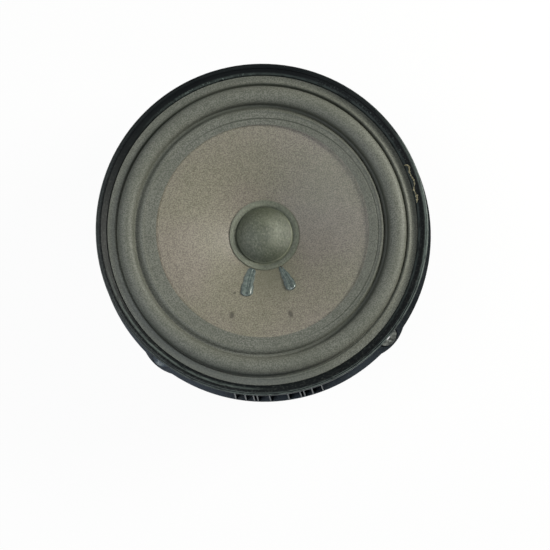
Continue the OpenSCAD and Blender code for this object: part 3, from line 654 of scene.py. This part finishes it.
def openCell():
    look, tree = newLook("sealFoam")
    pores = cells(millimetres(tree), 1.5)
    colour = paint((0.055, 0.055, 0.058), (spread(pores, 0.15, 0.6), (0.014, 0.014, 0.015)))
    return shade(look, colour, 0.9, bump(pores, -0.35, 0.9), {"Sheen Weight": 0.2})


looks = {
    "plastic": moulded(plastic),
    "foam": foamed(foamRubber),
    "pulp": pulped(pulp),
    "cloth": doped(capCloth),
    "clear": clearCement(clear),
    "yellow": plainCement("yellowCement", (0.66, 0.58, 0.36), (0.2, 0.17, 0.1), 0.45),
    "black": plainCement("blackCement", (0.03, 0.03, 0.028), (0.01, 0.01, 0.01), 0.35),
    "washer": plated("washerZinc", (0.36, 0.38, 0.37), (0.17, 0.18, 0.18), 0.9, (0.42, 0.64), (0.04, 0.05, 0.066)),
    "plates": plated("plateZinc", (0.56, 0.57, 0.58), (0.38, 0.38, 0.37), 0.45, (0.26, 0.46)),
    "ferrite": sintered(),
    "kraft": kraft(),
    "cotton": dippedCotton(),
    "winding": copper("windingCopper", 0.24),
    "wire": copper("wireCopper", 0),
    "braid": braided(),
    "brass": plated("tinnedBrass", (0.62, 0.5, 0.25), (0.4, 0.31, 0.14), 0.8, (0.22, 0.42)),
    "seal": openCell(),
}
print("materials made:", len(looks))

nodeLooks = {
    "plastic": ("basket_rim", "basket_flange", "basket_frame", "basket_cup", "basket_shroud"),
    "washer": ("mount_bushes",),
    "kraft": ("coil_former",),
    "winding": ("coil_winding",),
    "black": ("neck_glue",),
    "brass": ("terminal_wide", "terminal_narrow"),
    "plates": ("top_plate", "back_plate", "pole_piece", "plate_screws"),
    "ferrite": ("ferrite_magnet",),
}
for finish, nodes in nodeLooks.items():
    for node in nodes:
        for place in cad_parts[node].material_slots:
            place.material = looks[finish]
print("finishes set on the rigid nodes:", sum(len(nodes) for nodes in nodeLooks.values()))


# Cone: a shell of pulp whose front height is z = edge - depth ((rim - r) / (rim - neck)) ^ bow
cone = {
    "rim": 56.5,
    "neck": 13.45,
    "edge": 61.4,
    "depth": 16.0,
    "bow": 1.25,
    "thick": 0.9,
    "slant": 1.08,    # thickness along the axis over that across the shell
    "collar": 3.0,
    "holes": 27.15,    # radius of the two holes for the leads
    "rings": 84,
    "steps": 240,
}


def coneHeight(r):
    share = np.clip((cone["rim"] - r) / (cone["rim"] - cone["neck"]), 0, None)
    return cone["edge"] - cone["depth"] * share ** cone["bow"]


def addCone(values):
    thick = values["thick"]
    front = np.linspace(values["neck"], values["rim"], values["rings"])
    back = np.linspace(values["rim"], values["neck"] + thick, values["rings"] // 2)
    drop = coneHeight(values["neck"]) - values["collar"]
    outline = np.concatenate([
        [[values["neck"], drop]],
        pairs(front, coneHeight(front)),
        pairs(back, coneHeight(back) - thick * values["slant"]),
        [[values["neck"] + thick, drop]],
    ])
    points = revolve(outline, values["steps"])
    piece = gridPiece("conePaper", points, "cone_assembly", looks["pulp"], wrapRows=True)
    sharpen(piece, 50)
    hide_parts("cone")


addCone(cone)


# Surround: flange, crease, half roll, valley and lap, one sheet of foam rubber
surround = {
    "thick": 0.6,
    "flange": (75.1, 71.8, 62.3, 14),    # from, to, height, points
    "crease": (71.0, 0.7, 1.2, -5, -165, 9),    # radius, half width, depth, from and to in degrees, points
    "roll": (66.05, 4.1, 3.3, 8, 172, 33),    # the same with its height
    "valley": (60.75, 1.15, 0.5, -12, -165, 11),
    "shoulder": (58.0, 61.4, 1.6, 1.0, 12, 100, 9),    # radius and height of its centre, then the same
    "lap": (57.5, 51.9, 22),    # from, to, points
    "slope": 4.0,    # length of the cone's edge whose slope the lap goes on with
    "lift": 0.45,
    "wander": (    # rings that aren't quite true: radius, reach, mean shift, then size, count and phase of waves
        (71.0, 1.8, -0.5, (0.2, 1, -2.07), (0.25, 2, -1.38)),
        (60.75, 2.2, -0.1, (0.85, 1, -1.65)),
    ),
    "bead": (71.95, 0.5, 0.72, -18, 0.35),    # ridge: radius, half width, height, direction, least share
    "shallow": (70.5, 0.8, 0.68, 0),    # the same for the two sides where the crease is shallow
    "nick": (157.1, 58.9, 0.5, 0.9),    # a dent in the shoulder: angle, radius, depth and reach
    "soften": 0.36,    # how far the bends of the sheet are rounded
    "pitch": 0.25,    # spacing of the points along the sheet
    "steps": 240,
    "bends": (60.0, 71.4),    # radii passed to bendBetween, which does not use them
}


def bell(x, middle, wide):
    # 1 at the middle, falling smoothly to both sides
    return np.exp(-((x - middle) / wide) ** 2)


def soften(path, reach, pitch):
    # the path resampled at equal steps along itself, then a bell-shaped running mean of its points
    length = np.concatenate([[0], np.cumsum(np.linalg.norm(np.diff(path, axis=0), axis=1))])
    steps = np.linspace(0, length[-1], int(length[-1] / pitch) + 1)
    even = np.stack([np.interp(steps, length, path[:, k]) for k in range(2)], axis=1)
    half = int(3 * reach / pitch)
    weights = np.exp(-0.5 * (np.arange(-half, half + 1) * pitch / reach) ** 2)
    first, last = even[:1] - even[1:2], even[-1:] - even[-2:-1]
    far = np.arange(1, half + 1)[:, None]
    longer = np.concatenate([even[:1] + first * far[::-1], even, even[-1:] + last * far])
    return np.stack([np.convolve(longer[:, k], weights / weights.sum(), mode="valid") for k in range(2)], axis=1)


def sheetPath(values):
    start, stop, level, count = values["flange"]
    r0, w0, d0, *crease = values["crease"]
    r1, w1, h1, *roll = values["roll"]
    r2, w2, d2, *valley = values["valley"]
    rs, zs, ws, hs, *shoulder = values["shoulder"]
    # the lap follows the cone; between cone rim and shoulder it runs on at the cone's own slope
    lap, rim, over = np.linspace(*values["lap"]), cone["rim"], values["slope"]
    slope = (coneHeight(rim) - coneHeight(rim - over)) / over
    rise = np.where(lap > rim, coneHeight(rim) + slope * (lap - rim), coneHeight(lap)) + values["lift"]
    return np.concatenate([
        pairs(np.linspace(start, stop, count), level),
        arcPoints((r0, level), w0, d0, *crease),
        arcPoints((r1, level), w1, h1, *roll),
        arcPoints((r2, zs), w2, d2, *valley),
        arcPoints((rs, zs), ws, hs, *shoulder),
        pairs(lap, rise),
    ])


def addSurround(values):
    path = soften(sheetPath(values), values["soften"], values["pitch"])
    points = revolve(thicken(path, values["thick"]), values["steps"])
    a = fullTurn(values["steps"])
    reach = np.hypot(points[..., 0], points[..., 1])
    top, wide, high, where, least = values["bead"]
    share = least + (1 - least) * np.clip(np.cos(a - math.radians(where)), 0, 1)
    points[..., 2] += high * share * bell(reach, top, wide)
    top, wide, high, where = values["shallow"]
    points[..., 2] += high * np.abs(np.cos(a - math.radians(where))) * bell(reach, top, wide)
    # valley and crease wander in and out: the radius moves by a mean and waves, fading out to both sides
    for ring, wide, mean, *waves in values["wander"]:
        shift = mean + sum(size * np.sin(count * a + phase) for size, count, phase in waves)
        points[..., :2] *= (1 + shift * bell(reach, ring, wide) / reach)[..., None]
    angle, radius, deep, wide = values["nick"]
    x, y = radius * math.cos(math.radians(angle)), radius * math.sin(math.radians(angle))
    points[..., 2] -= deep * bell(np.hypot(points[..., 0] - x, points[..., 1] - y), 0, wide)
    piece = gridPiece("rollSurround", points, None, looks["foam"], wrapRows=True)
    sharpen(piece, 60)
    bendBetween(piece, *values["bends"])
    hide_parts("surround")


addSurround(surround)


# Dust cap: a ball dome that ends in a short steep foot, a groove and a flange on the cone
cap = {
    "level": (14.25, 0.2),    # the foot's level: that of the cone at this radius, and so much over the lift
    "lift": 0.835,
    "high": 6.5,
    "edge": (13.55, 0.95),    # radius and height of the dome's edge above the foot's level
    "turn": (0.32, 4, 8),    # radius of the bend over the edge, angle where it ends, points
    "foot": ((14.04, -0.02), (14.2, -0.16)),    # radius and height from the foot's level
    "flange": (14.55, 17.6, 24),    # from, to, points
    "sink": (15.4, 0.46, 0.5),    # radius where the flange begins to sink, how far, and the share by which it thins
    "ridge": (15.2, 0.5, 0.1),    # radius, half width and height of a low ridge on the flange
    "thick": 0.7,
    "rings": 40,
    "steps": 144,
}


def addCap(values):
    # the dome is an arc through the crown and the edge: height = crown - (ball - sqrt(ball^2 - r^2))
    under, over = values["level"]
    level = coneHeight(under) + values["lift"] + over
    r0, rise = values["edge"]
    drop = values["high"] - rise
    ball = (r0 ** 2 + drop ** 2) / (2 * drop)
    edge = math.asin(r0 / ball)
    a = np.linspace(0, edge, values["rings"])
    dome = pairs(ball * np.sin(a), level + values["high"] - ball + ball * np.cos(a))
    turn, stop, count = values["turn"]
    middle = (r0 - turn * math.sin(edge), level + rise - turn * math.cos(edge))
    bend = arcPoints(middle, turn, turn, 90 - math.degrees(edge), stop, count)[1:]
    r = np.linspace(*values["flange"])
    start, fall, thinner = values["sink"]
    down = np.clip((r - start) / (r[-1] - start), 0, 1)
    top, wide, high = values["ridge"]
    flange = pairs(r, coneHeight(r) + values["lift"] - fall * down + high * bell(r, top, wide))
    path = np.concatenate([dome, bend, np.array(values["foot"]) + (0, level), flange])
    thick = values["thick"] * np.concatenate([np.ones(len(path) - len(r)), 1 - thinner * down])
    points = revolve(thicken(path, thick), values["steps"])
    piece = gridPiece("dustCap", points, "cone_assembly", looks["cloth"], weld=0.008)
    sharpen(piece, 50)
    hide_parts("dust_cap")


addCap(cap)
print("cone, surround and dust cap made")


# Spider: corrugated cotton disc, a sine wave between the collar and the glued land
spider = {
    "collar": (13.7, 36.65, 34.75, 4),    # radius, top, bottom, points
    "foot": ((14.5, 34.45), 0.8, 0.8, 180, 262, 8),    # middle, half width, height, from and to in degrees, points
    "waves": (14.5, 33.3, 90, 33.65, 1.1, 5),    # from, to, points, middle height, amplitude, count
    "land": (33.8, 38.0, 7),    # from, to, points
    "thick": 0.5,
    "steps": 200,
    "bends": (15.0, 33.3),
}


def addSpider(values):
    inner, top, bottom, number = values["collar"]
    start, stop, points, level, high, count = values["waves"]
    r = np.linspace(start, stop, points)[1:]
    path = np.concatenate([
        pairs(inner, np.linspace(top, bottom, number)),
        arcPoints(*values["foot"]),
        pairs(r, level - high * np.sin(2 * np.pi * count * (r - start) / (stop - start))),
        pairs(np.linspace(*values["land"]), level),
    ])
    sheet = revolve(thicken(path, values["thick"]), values["steps"])
    piece = gridPiece("spiderDisc", sheet, None, looks["cotton"], wrapRows=True)
    sharpen(piece, 60)
    bendBetween(piece, *values["bends"])
    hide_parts("spider")


addSpider(spider)


# Seal: foam ring with soft, slightly uneven edges
seal = {"inner": 70.5, "outer": 74.7, "low": 43.2, "high": 45.2, "round": 0.6, "uneven": 0.05, "steps": 220}


def addSeal(values):
    a, b, c, d, f = (values[k] for k in ("inner", "outer", "low", "high", "round"))
    outline = np.concatenate([
        arcPoints((a + f, c + f), f, f, 180, 270, 6),
        arcPoints((b - f, c + f), f, f, 270, 360, 6),
        [[b, d], [(a + b) / 2, d], [a, d]],
    ])
    points = revolve(outline, values["steps"])
    uneven = np.random.default_rng(7).normal(0, values["uneven"], points.shape[:2])
    uneven[-3:] = 0
    points[..., 2] += uneven
    piece = gridPiece("sealRing", points, "chassis", looks["seal"], wrapRows=True)
    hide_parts("rim_seal")


addSeal(seal)


# Lead-out wires: up the former, over the neck and out along the cone under the cement
leads = {
    "thick": 0.35,
    "sides": 10,
    "angles": {"left": 245.0, "right": 292.0},
    "former": (13.225, 28.05, 12),    # radius, lowest height, points
    "over": (14.45, 1.225, 0.76, 165, 110, 7),    # bend over the neck: radius, then as the spider's foot
    "out": (14.6, 27.0, 24),    # from, to, points
    "above": 0.26,
    "inside": (0.3, 0.85),    # depths of the last two points in the hole
}


def leadPath(values, angle):
    neck = float(coneHeight(cone["neck"]))
    inner, low, count = values["former"]
    up = pairs(inner, np.linspace(low, neck, count))
    middle, reach, high, *span = values["over"]
    r, hole = np.linspace(*values["out"]), cone["holes"]
    out = pairs(r, coneHeight(r) + values["above"])
    down = [(hole, coneHeight(hole) - deep) for deep in values["inside"]]
    flat = np.concatenate([up, arcPoints((middle, neck), reach, high, *span), out, down])
    return np.stack([flat[:, 0] * math.cos(angle), flat[:, 0] * math.sin(angle), flat[:, 1]], axis=1)


def addLead(name, values):
    a = math.radians(values["angles"][name])
    tube = sweep(leadPath(values, a), values["thick"] / 2, values["sides"], prefer=(-math.sin(a), math.cos(a), 0))
    piece = gridPiece("leadWire_" + name, closeEnds(tube), "cone_assembly", looks["wire"])
    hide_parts("coil_lead_" + name)


for name in leads["angles"]:
    addLead(name, leads)


# Cement over the lead-outs: a flattened drop that lies on the cone, wide at its outer end
drops = {
    "left": {
        "spine": ((-7.4, -16.0), (-10.0, -23.0), (-11.5, -30.5)),
        "width": (1.6, 2.2, 2.7, 3.0, 3.05, 2.7),    # half the width at equal steps down the drop
    },
    "right": {
        "spine": ((6.1, -16.4), (9.2, -22.8), (11.5, -29.4)),
        "width": (0.7, 1.4, 2.1, 2.6, 2.65, 2.1),
    },
    "steps": (60, 48),    # down the drop and round it
    "ends": (0.06, 0.16),    # shares of the length over which the two ends narrow
    "high": 1.1,
    "swell": (0.45, 0.8),    # share of the height at the start, and how far down it is full
    "round": 0.8,    # power that fills the section
    "sunk": 0.12,
    "edge": ((0.07, 9, 2, 0), (0.04, 23, 0, -1.0)),    # waves of the edge: size, count in u, count in v, phase
    "ripples": ((0.2, 3.0, 5.2, 1.0), (0.1, -7.0, 9, 0)),    # the same of the height, in u and s
}


def bezier(u, *points):
    # sum of binomial(n, k) u^k (1 - u)^(n - k) point
    n = len(points) - 1
    return sum(math.comb(n, k) * u ** k * (1 - u) ** (n - k) * np.array(point) for k, point in enumerate(points))


def ripple(waves, wave, u, other):
    # 1 + sum of size wave(first u + second other + phase)
    return 1 + sum(size * wave(first * u + second * other + phase) for size, first, second, phase in waves)


def addDrop(name, values):
    # u runs down the drop, v round its section and s = cos v across it; height above the cone is
    # high * rise(u) * (sin v) ^ round with shallow ripples along the drop
    rows, columns = values["steps"]
    u = np.linspace(0, 1, rows)[:, None]
    v = fullTurn(columns)[None, :]
    start, middle, stop = (np.array(p) for p in values[name]["spine"])
    spine = bezier(u, start, 2 * middle - (start + stop) / 2, stop)
    along = np.gradient(spine, axis=0)
    along /= np.linalg.norm(along, axis=1)[:, None]
    side = pairs(-along[:, 1], along[:, 0])
    width = values[name]["width"]
    first, last = values["ends"]
    short = (np.clip(1 - u / first, 0, 1), np.clip(1 - (1 - u) / last, 0, 1))
    ends = np.sqrt((1 - short[0] ** 2) * (1 - short[1] ** 2))
    half = np.polyval(np.polyfit(np.linspace(0, 1, len(width)), width, 3), u) * ends
    s, around = np.cos(v), np.abs(np.sin(v))
    lateral = half * s * ripple(values["edge"], np.sin, u, v)
    low, full = values["swell"]
    rise = values["high"] * (low + (1 - low) * np.sin(np.pi / 2 * np.clip(u / full, 0, 1)) ** 2) * ends
    above = rise * around ** values["round"] * ripple(values["ripples"], np.cos, u, s)
    flat = spine[:, None] + side[:, None] * lateral[..., None]
    lift = np.where(np.sin(v) > 0, above, -values["sunk"] * ends * around)
    z = coneHeight(np.hypot(flat[..., 0], flat[..., 1])) + lift
    points = np.concatenate([flat, z[..., None]], axis=2)
    piece = gridPiece("leadCement_" + name, points, "cone_assembly", looks["clear"],
                      weld=0.01)
    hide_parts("lead_glue_" + name)


for name in ("left", "right"):
    addDrop(name, drops)
print("spider, seal, wires and cement made")


# Tinsel leads: braided tubes on a cubic curve from under the cone to the solder tails
tinsel = {
    "thick": 1.4,
    "rings": 64,
    "sides": 12,
    "under": 1.372,    # how far the start lies below the cone's front
    "handles": ((0, -1, -10), (0, 2, 9)),    # of the curve, from its start and from its stop
    "tails": {"left": (-5.75, -53.9, 39.13), "right": (5.75, -53.9, 39.13)},
}


def addTinsel(name, values):
    a, hole = math.radians(leads["angles"][name]), cone["holes"]
    start = np.array([hole * math.cos(a), hole * math.sin(a), coneHeight(hole) - values["under"]])
    stop = np.array(values["tails"][name])
    first, last = values["handles"]
    path = bezier(np.linspace(0, 1, values["rings"])[:, None], start, start + first, stop + last, stop)
    tube = sweep(path, values["thick"] / 2, values["sides"], prefer=(1, 0, 0))
    piece = gridPiece("tinselLead_" + name, closeEnds(tube), None, looks["braid"])
    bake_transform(piece)
    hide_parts("tinsel_" + name)


for name in tinsel["tails"]:
    addTinsel(name, tinsel)


# Old yellow cement squeezed out between surround and lip, on the right
oldCement = {
    "strand": (    # x, y and thickness of the strand along the lip's foot
        (71.6, 24.6, 0.16), (72.3, 24.6, 0.3), (73.3, 23.8, 0.22), (73.5, 22.9, 0.38), (73.4, 21.1, 0.3),
        (73.9, 19.6, 0.16), (74.3, 18.3, 0.3), (74.9, 17.5, 0.18), (75.1, 16.7, 0.38), (75.3, 15.0, 0.24),
        (75.0, 13.7, 0.16), (74.9, 12.6, 0.48), (75.1, 11.4, 0.16), (75.5, 10.1, 0.22), (75.7, 8.6, 0.3),
        (76.2, 9.8, 0.22), (76.0, 7.9, 0.38), (75.6, 5.7, 0.18),
    ),
    "bevel": ((75.25, 75.5, 77.55, 77.8), (62.6, 63.3, 65.3, 66.0)),    # radii and heights of what it lies on
    "lift": 0.04,
    "steps": 240,
    "mean": 7,    # steps of the running mean
    "thick": (1.173, 1.15),    # of the strand, as a share of the thickness given: even part, share of the waves
    "waves": ((0.5, 5.1), (0.3, 11.3)),    # size, count
    "lumps": 0.15,
    "scatter": 0.05,
    "flat": 0.6,
}


def addStrand(name, values, look):
    # the points are joined by straight pieces in small steps, then softened by a running mean;
    # the height is the bevel's at that radius and a little more
    marks = np.array(values["strand"])
    rng = np.random.default_rng(12)
    t = np.linspace(0, len(marks) - 1, values["steps"])
    thread = np.stack([np.interp(t, np.arange(len(marks)), marks[:, k]) for k in range(3)], axis=1)
    count = values["mean"]
    padded = np.pad(thread, ((count // 2, count // 2), (0, 0)), mode="edge")
    thread = np.stack([np.convolve(padded[:, k], np.ones(count) / count, mode="valid") for k in range(3)], axis=1)
    waves = sum(size * np.sin(t * often) for size, often in values["waves"])
    waves += values["lumps"] * rng.normal(0, 1, len(t)).clip(-1, 1)
    even, share = values["thick"]
    thick = thread[:, 2] * (even + share * waves)
    x, y = (thread[:, :2] + rng.normal(0, values["scatter"], (len(t), 2))).T
    path = np.stack([x, y, np.interp(np.hypot(x, y), *values["bevel"]) + values["lift"]], axis=1)
    gridPiece(name, closeEnds(sweep(path, thick, 10, flat=values["flat"])), "chassis", look)


addStrand("oldCement", oldCement, looks["yellow"])
print("leads and old cement made")


# Stage: a pale floor that looks white but keeps a soft shadow, lamps and a plain world
stage = {
    "floorSize": 6.0,
    "below": 0.0003,    # how far the floor lies under the speaker
    "floor": (0.86, 0.86, 0.86),
    "whiten": 0.95,
    "glow": (0.05, 0.55, 0.2, 0.0),    # the world's light: two heights, and its strength below and above them
    "shown": (0.15, 0.5, 1.0, 0.0),    # the same for the white that mirrors and glass show
    "aim": (0.0, 0.0, 0.05),
    "lamps": (    # name, place, width and height, power, colour
        ("keyLamp", (0.549, 0.137, 0.37), (0.3, 0.14), 4.75, (1.0, 1.0, 0.9)),
        ("leftLamp", (-0.325, 0.0, 0.613), (0.4, 0.4), 2.1, (0.96, 1.0, 1.0)),
        ("fillLamp", (-0.377, -0.377, 0.423), (0.4, 0.4), 0.5, (0.85, 0.95, 1.0)),
    ),
}


def direct(tree):
    # what the camera sees and what a mirror or glass shows: 1 there, 0 for light that falls on a surface
    path = add("ShaderNodeLightPath", {}, tree)
    return path["Is Camera Ray"], largest(path["Is Glossy Ray"], path["Is Transmission Ray"])


def addFloor(values):
    half, low = values["floorSize"] / 2, -values["below"]
    mesh = bpy.data.meshes.new("floor")
    corners = [(x * half, y * half, low) for x, y in ((-1, -1), (1, -1), (1, 1), (-1, 1))]
    mesh.from_pydata(corners, [], [(0, 1, 2, 3)])
    look, tree = newLook("paleFloor")
    seen = largest(*direct(tree))
    diffuse = add("ShaderNodeBsdfDiffuse", {"Color": (*values["floor"], 1)}, tree)[0]
    white = add("ShaderNodeEmission", {"Color": (1, 1, 1, 1), "Strength": 1.0}, tree)[0]
    share = times(seen, values["whiten"])
    both = add("ShaderNodeMixShader", {0: share, 1: diffuse, 2: white})[0]
    add("ShaderNodeOutputMaterial", {"Surface": both})
    mesh.materials.append(look)
    floor = addObject("floor", mesh)


def addLamp(aim, name, place, size, power, colour):
    data = bpy.data.lights.new(name, "AREA")
    data.shape = "RECTANGLE"
    data.size, data.size_y = size
    data.energy = power
    data.color = colour
    lamp = addObject(name, data)
    lamp.location = place
    lamp.rotation_euler = (Vector(aim) - Vector(place)).to_track_quat("-Z", "Y").to_euler()


def addWorld(values):
    world = bpy.data.worlds.new("studio")
    scene.world = world
    world.use_nodes = True
    tree = world.node_tree
    tree.nodes.clear()
    seen, through = direct(tree)
    high = axes(coordinates(tree, "Generated"))[2]
    shown = times(through, spread(high, *values["shown"]))
    strength = largest(spread(high, *values["glow"]), seen, shown)
    sky = add("ShaderNodeBackground", {"Color": (1, 1, 1, 1), "Strength": strength})[0]
    add("ShaderNodeOutputWorld", {"Surface": sky})


addFloor(stage)
for lamp in stage["lamps"]:
    addLamp(stage["aim"], *lamp)
addWorld(stage)
print("stage set")
